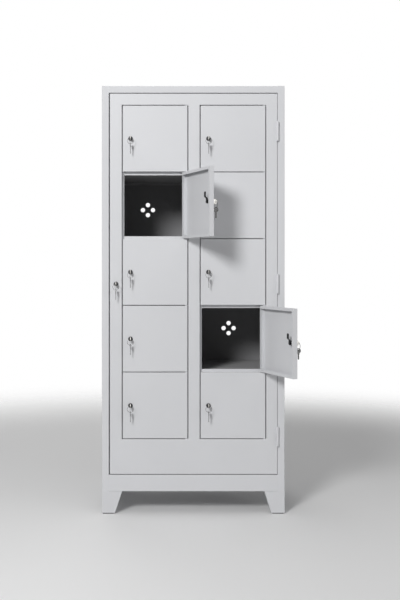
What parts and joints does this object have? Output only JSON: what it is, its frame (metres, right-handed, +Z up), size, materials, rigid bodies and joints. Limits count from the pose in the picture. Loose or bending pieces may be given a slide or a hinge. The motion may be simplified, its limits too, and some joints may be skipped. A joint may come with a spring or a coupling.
{
  "type": "laundry distribution locker",
  "caption": "Free-standing sheet-steel laundry locker: one master door carries two columns of small lockable doors, with shelves behind, rear vents and tapered feet.",
  "frame": {"origin": "middle of the cabinet body's plan, on the floor", "axes": "+Z up, the doors face -Y, +X to the right as seen from the front"},
  "size_m": [0.8239, 0.7575, 1.85],
  "materials": {
    "painted_sheet": "light grey powder coat, fine texture, satin",
    "lock_metal": "nickel-plated, polished",
    "key_metal": "nickel-plated, lightly worn",
    "glide_plastic": "black, matt"
  },
  "bodies": {
    "cabinet": {"left_side_panel": "painted_sheet", "right_side_panel": "painted_sheet", "back_panel": "painted_sheet", "top_panel": "painted_sheet", "base_panel": "painted_sheet", "centre_partition": "painted_sheet", "left_shelves": "painted_sheet", "right_shelves": "painted_sheet", "feet": "painted_sheet", "foot_glides": "glide_plastic", "frame_hinge_halves": "painted_sheet"},
    "master_door": {"master_door_frame": "painted_sheet", "cross_rails": "painted_sheet", "pivot_brackets": "painted_sheet", "door_hinge_halves": "painted_sheet", "master_lock_case": "lock_metal"},
    "master_plug": {"master_lock_plug": "lock_metal"},
    "master_ring": {"master_key_ring": "key_metal"},
    "row_1_left_door": {"row_1_left_door": "painted_sheet", "row_1_left_lock_case": "lock_metal"},
    "row_1_left_plug": {"row_1_left_lock_plug": "lock_metal"},
    "row_1_left_ring": {"row_1_left_key_ring": "key_metal"},
    "row_2_left_door": {"row_2_left_door": "painted_sheet", "row_2_left_lock_case": "lock_metal"},
    "row_2_left_plug": {"row_2_left_lock_plug": "lock_metal"},
    "row_2_left_ring": {"row_2_left_key_ring": "key_metal"},
    "row_3_left_door": {"row_3_left_door": "painted_sheet", "row_3_left_lock_case": "lock_metal"},
    "row_3_left_plug": {"row_3_left_lock_plug": "lock_metal"},
    "row_3_left_ring": {"row_3_left_key_ring": "key_metal"},
    "row_4_left_door": {"row_4_left_door": "painted_sheet", "row_4_left_lock_case": "lock_metal"},
    "row_4_left_plug": {"row_4_left_lock_plug": "lock_metal"},
    "row_4_left_ring": {"row_4_left_key_ring": "key_metal"},
    "row_5_left_door": {"row_5_left_door": "painted_sheet", "row_5_left_lock_case": "lock_metal"},
    "row_5_left_plug": {"row_5_left_lock_plug": "lock_metal"},
    "row_5_left_ring": {"row_5_left_key_ring": "key_metal"},
    "row_1_right_door": {"row_1_right_door": "painted_sheet", "row_1_right_lock_case": "lock_metal"},
    "row_1_right_plug": {"row_1_right_lock_plug": "lock_metal"},
    "row_1_right_ring": {"row_1_right_key_ring": "key_metal"},
    "row_2_right_door": {"row_2_right_door": "painted_sheet", "row_2_right_lock_case": "lock_metal"},
    "row_2_right_plug": {"row_2_right_lock_plug": "lock_metal"},
    "row_2_right_ring": {"row_2_right_key_ring": "key_metal"},
    "row_3_right_door": {"row_3_right_door": "painted_sheet", "row_3_right_lock_case": "lock_metal"},
    "row_3_right_plug": {"row_3_right_lock_plug": "lock_metal"},
    "row_3_right_ring": {"row_3_right_key_ring": "key_metal"},
    "row_4_right_door": {"row_4_right_door": "painted_sheet", "row_4_right_lock_case": "lock_metal"},
    "row_4_right_plug": {"row_4_right_lock_plug": "lock_metal"},
    "row_4_right_ring": {"row_4_right_key_ring": "key_metal"},
    "row_5_right_door": {"row_5_right_door": "painted_sheet", "row_5_right_lock_case": "lock_metal"},
    "row_5_right_plug": {"row_5_right_lock_plug": "lock_metal"},
    "row_5_right_ring": {"row_5_right_key_ring": "key_metal"}
  },
  "joints": [
    {"name": "master_hinge", "type": "hinge", "parent": "cabinet", "child": "master_door", "pos_m": [0.3642, -0.2558, 0.994], "axis": [0, 0, 1], "range_deg": [0, 120]},
    {"name": "master_lock_turn", "type": "hinge", "parent": "master_door", "child": "master_plug", "pos_m": [-0.334, -0.25, 0.994], "axis": [0, -1, 0], "range_deg": [0, 90]},
    {"name": "master_ring_hang", "type": "hinge", "parent": "master_plug", "child": "master_ring", "pos_m": [-0.334, -0.25, 0.994], "axis": [0, -1, 0], "range_deg": [-54, 0]},
    {"name": "row_1_left_hinge", "type": "hinge", "parent": "master_door", "child": "row_1_left_door", "pos_m": [-0.031, -0.246, 1.62225], "axis": [0, 0, 1], "range_deg": [0, 111]},
    {"name": "row_1_left_lock_turn", "type": "hinge", "parent": "row_1_left_door", "child": "row_1_left_plug", "pos_m": [-0.2715, -0.25, 1.62225], "axis": [0, -1, 0], "range_deg": [0, 90]},
    {"name": "row_1_left_ring_hang", "type": "hinge", "parent": "row_1_left_plug", "child": "row_1_left_ring", "pos_m": [-0.2715, -0.25, 1.62225], "axis": [0, -1, 0], "range_deg": [-54, 0]},
    {"name": "row_2_left_hinge", "type": "hinge", "parent": "master_door", "child": "row_2_left_door", "pos_m": [-0.031, -0.246, 1.33375], "axis": [0, 0, 1], "range_deg": [-111, 0]},
    {"name": "row_2_left_lock_turn", "type": "hinge", "parent": "row_2_left_door", "child": "row_2_left_plug", "pos_m": [0.05892, -0.46909, 1.33375], "axis": [0.9336, 0.3584, 0], "range_deg": [0, 90]},
    {"name": "row_2_left_ring_hang", "type": "hinge", "parent": "row_2_left_plug", "child": "row_2_left_ring", "pos_m": [0.05892, -0.46909, 1.33375], "axis": [0.9336, 0.3584, 0], "range_deg": [-54, 0]},
    {"name": "row_3_left_hinge", "type": "hinge", "parent": "master_door", "child": "row_3_left_door", "pos_m": [-0.031, -0.246, 1.04525], "axis": [0, 0, 1], "range_deg": [0, 111]},
    {"name": "row_3_left_lock_turn", "type": "hinge", "parent": "row_3_left_door", "child": "row_3_left_plug", "pos_m": [-0.2715, -0.25, 1.04525], "axis": [0, -1, 0], "range_deg": [0, 90]},
    {"name": "row_3_left_ring_hang", "type": "hinge", "parent": "row_3_left_plug", "child": "row_3_left_ring", "pos_m": [-0.2715, -0.25, 1.04525], "axis": [0, -1, 0], "range_deg": [-54, 0]},
    {"name": "row_4_left_hinge", "type": "hinge", "parent": "master_door", "child": "row_4_left_door", "pos_m": [-0.031, -0.246, 0.75675], "axis": [0, 0, 1], "range_deg": [0, 111]},
    {"name": "row_4_left_lock_turn", "type": "hinge", "parent": "row_4_left_door", "child": "row_4_left_plug", "pos_m": [-0.2715, -0.25, 0.75675], "axis": [0, -1, 0], "range_deg": [0, 90]},
    {"name": "row_4_left_ring_hang", "type": "hinge", "parent": "row_4_left_plug", "child": "row_4_left_ring", "pos_m": [-0.2715, -0.25, 0.75675], "axis": [0, -1, 0], "range_deg": [-54, 0]},
    {"name": "row_5_left_hinge", "type": "hinge", "parent": "master_door", "child": "row_5_left_door", "pos_m": [-0.031, -0.246, 0.46825], "axis": [0, 0, 1], "range_deg": [0, 111]},
    {"name": "row_5_left_lock_turn", "type": "hinge", "parent": "row_5_left_door", "child": "row_5_left_plug", "pos_m": [-0.2715, -0.25, 0.46825], "axis": [0, -1, 0], "range_deg": [0, 90]},
    {"name": "row_5_left_ring_hang", "type": "hinge", "parent": "row_5_left_plug", "child": "row_5_left_ring", "pos_m": [-0.2715, -0.25, 0.46825], "axis": [0, -1, 0], "range_deg": [-54, 0]},
    {"name": "row_1_right_hinge", "type": "hinge", "parent": "master_door", "child": "row_1_right_door", "pos_m": [0.306, -0.246, 1.62225], "axis": [0, 0, 1], "range_deg": [0, 111]},
    {"name": "row_1_right_lock_turn", "type": "hinge", "parent": "row_1_right_door", "child": "row_1_right_plug", "pos_m": [0.0655, -0.25, 1.62225], "axis": [0, -1, 0], "range_deg": [0, 90]},
    {"name": "row_1_right_ring_hang", "type": "hinge", "parent": "row_1_right_plug", "child": "row_1_right_ring", "pos_m": [0.0655, -0.25, 1.62225], "axis": [0, -1, 0], "range_deg": [-54, 0]},
    {"name": "row_2_right_hinge", "type": "hinge", "parent": "master_door", "child": "row_2_right_door", "pos_m": [0.306, -0.246, 1.33375], "axis": [0, 0, 1], "range_deg": [0, 111]},
    {"name": "row_2_right_lock_turn", "type": "hinge", "parent": "row_2_right_door", "child": "row_2_right_plug", "pos_m": [0.0655, -0.25, 1.33375], "axis": [0, -1, 0], "range_deg": [0, 90]},
    {"name": "row_2_right_ring_hang", "type": "hinge", "parent": "row_2_right_plug", "child": "row_2_right_ring", "pos_m": [0.0655, -0.25, 1.33375], "axis": [0, -1, 0], "range_deg": [-54, 0]},
    {"name": "row_3_right_hinge", "type": "hinge", "parent": "master_door", "child": "row_3_right_door", "pos_m": [0.306, -0.246, 1.04525], "axis": [0, 0, 1], "range_deg": [0, 111]},
    {"name": "row_3_right_lock_turn", "type": "hinge", "parent": "row_3_right_door", "child": "row_3_right_plug", "pos_m": [0.0655, -0.25, 1.04525], "axis": [0, -1, 0], "range_deg": [0, 90]},
    {"name": "row_3_right_ring_hang", "type": "hinge", "parent": "row_3_right_plug", "child": "row_3_right_ring", "pos_m": [0.0655, -0.25, 1.04525], "axis": [0, -1, 0], "range_deg": [-54, 0]},
    {"name": "row_4_right_hinge", "type": "hinge", "parent": "master_door", "child": "row_4_right_door", "pos_m": [0.306, -0.246, 0.75675], "axis": [0, 0, 1], "range_deg": [-111, 0]},
    {"name": "row_4_right_lock_turn", "type": "hinge", "parent": "row_4_right_door", "child": "row_4_right_plug", "pos_m": [0.39592, -0.46909, 0.75675], "axis": [0.9336, 0.3584, 0], "range_deg": [0, 90]},
    {"name": "row_4_right_ring_hang", "type": "hinge", "parent": "row_4_right_plug", "child": "row_4_right_ring", "pos_m": [0.39592, -0.46909, 0.75675], "axis": [0.9336, 0.3584, 0], "range_deg": [-54, 0]},
    {"name": "row_5_right_hinge", "type": "hinge", "parent": "master_door", "child": "row_5_right_door", "pos_m": [0.306, -0.246, 0.46825], "axis": [0, 0, 1], "range_deg": [0, 111]},
    {"name": "row_5_right_lock_turn", "type": "hinge", "parent": "row_5_right_door", "child": "row_5_right_plug", "pos_m": [0.0655, -0.25, 0.46825], "axis": [0, -1, 0], "range_deg": [0, 90]},
    {"name": "row_5_right_ring_hang", "type": "hinge", "parent": "row_5_right_plug", "child": "row_5_right_ring", "pos_m": [0.0655, -0.25, 0.46825], "axis": [0, -1, 0], "range_deg": [-54, 0]}
  ],
  "couplings": [
    {"joint": "master_ring_hang", "follows": "master_lock_turn", "ratio": -0.6},
    {"joint": "row_1_left_ring_hang", "follows": "row_1_left_lock_turn", "ratio": -0.6},
    {"joint": "row_2_left_ring_hang", "follows": "row_2_left_lock_turn", "ratio": -0.6},
    {"joint": "row_3_left_ring_hang", "follows": "row_3_left_lock_turn", "ratio": -0.6},
    {"joint": "row_4_left_ring_hang", "follows": "row_4_left_lock_turn", "ratio": -0.6},
    {"joint": "row_5_left_ring_hang", "follows": "row_5_left_lock_turn", "ratio": -0.6},
    {"joint": "row_1_right_ring_hang", "follows": "row_1_right_lock_turn", "ratio": -0.6},
    {"joint": "row_2_right_ring_hang", "follows": "row_2_right_lock_turn", "ratio": -0.6},
    {"joint": "row_3_right_ring_hang", "follows": "row_3_right_lock_turn", "ratio": -0.6},
    {"joint": "row_4_right_ring_hang", "follows": "row_4_right_lock_turn", "ratio": -0.6},
    {"joint": "row_5_right_ring_hang", "follows": "row_5_right_lock_turn", "ratio": -0.6}
  ]
}
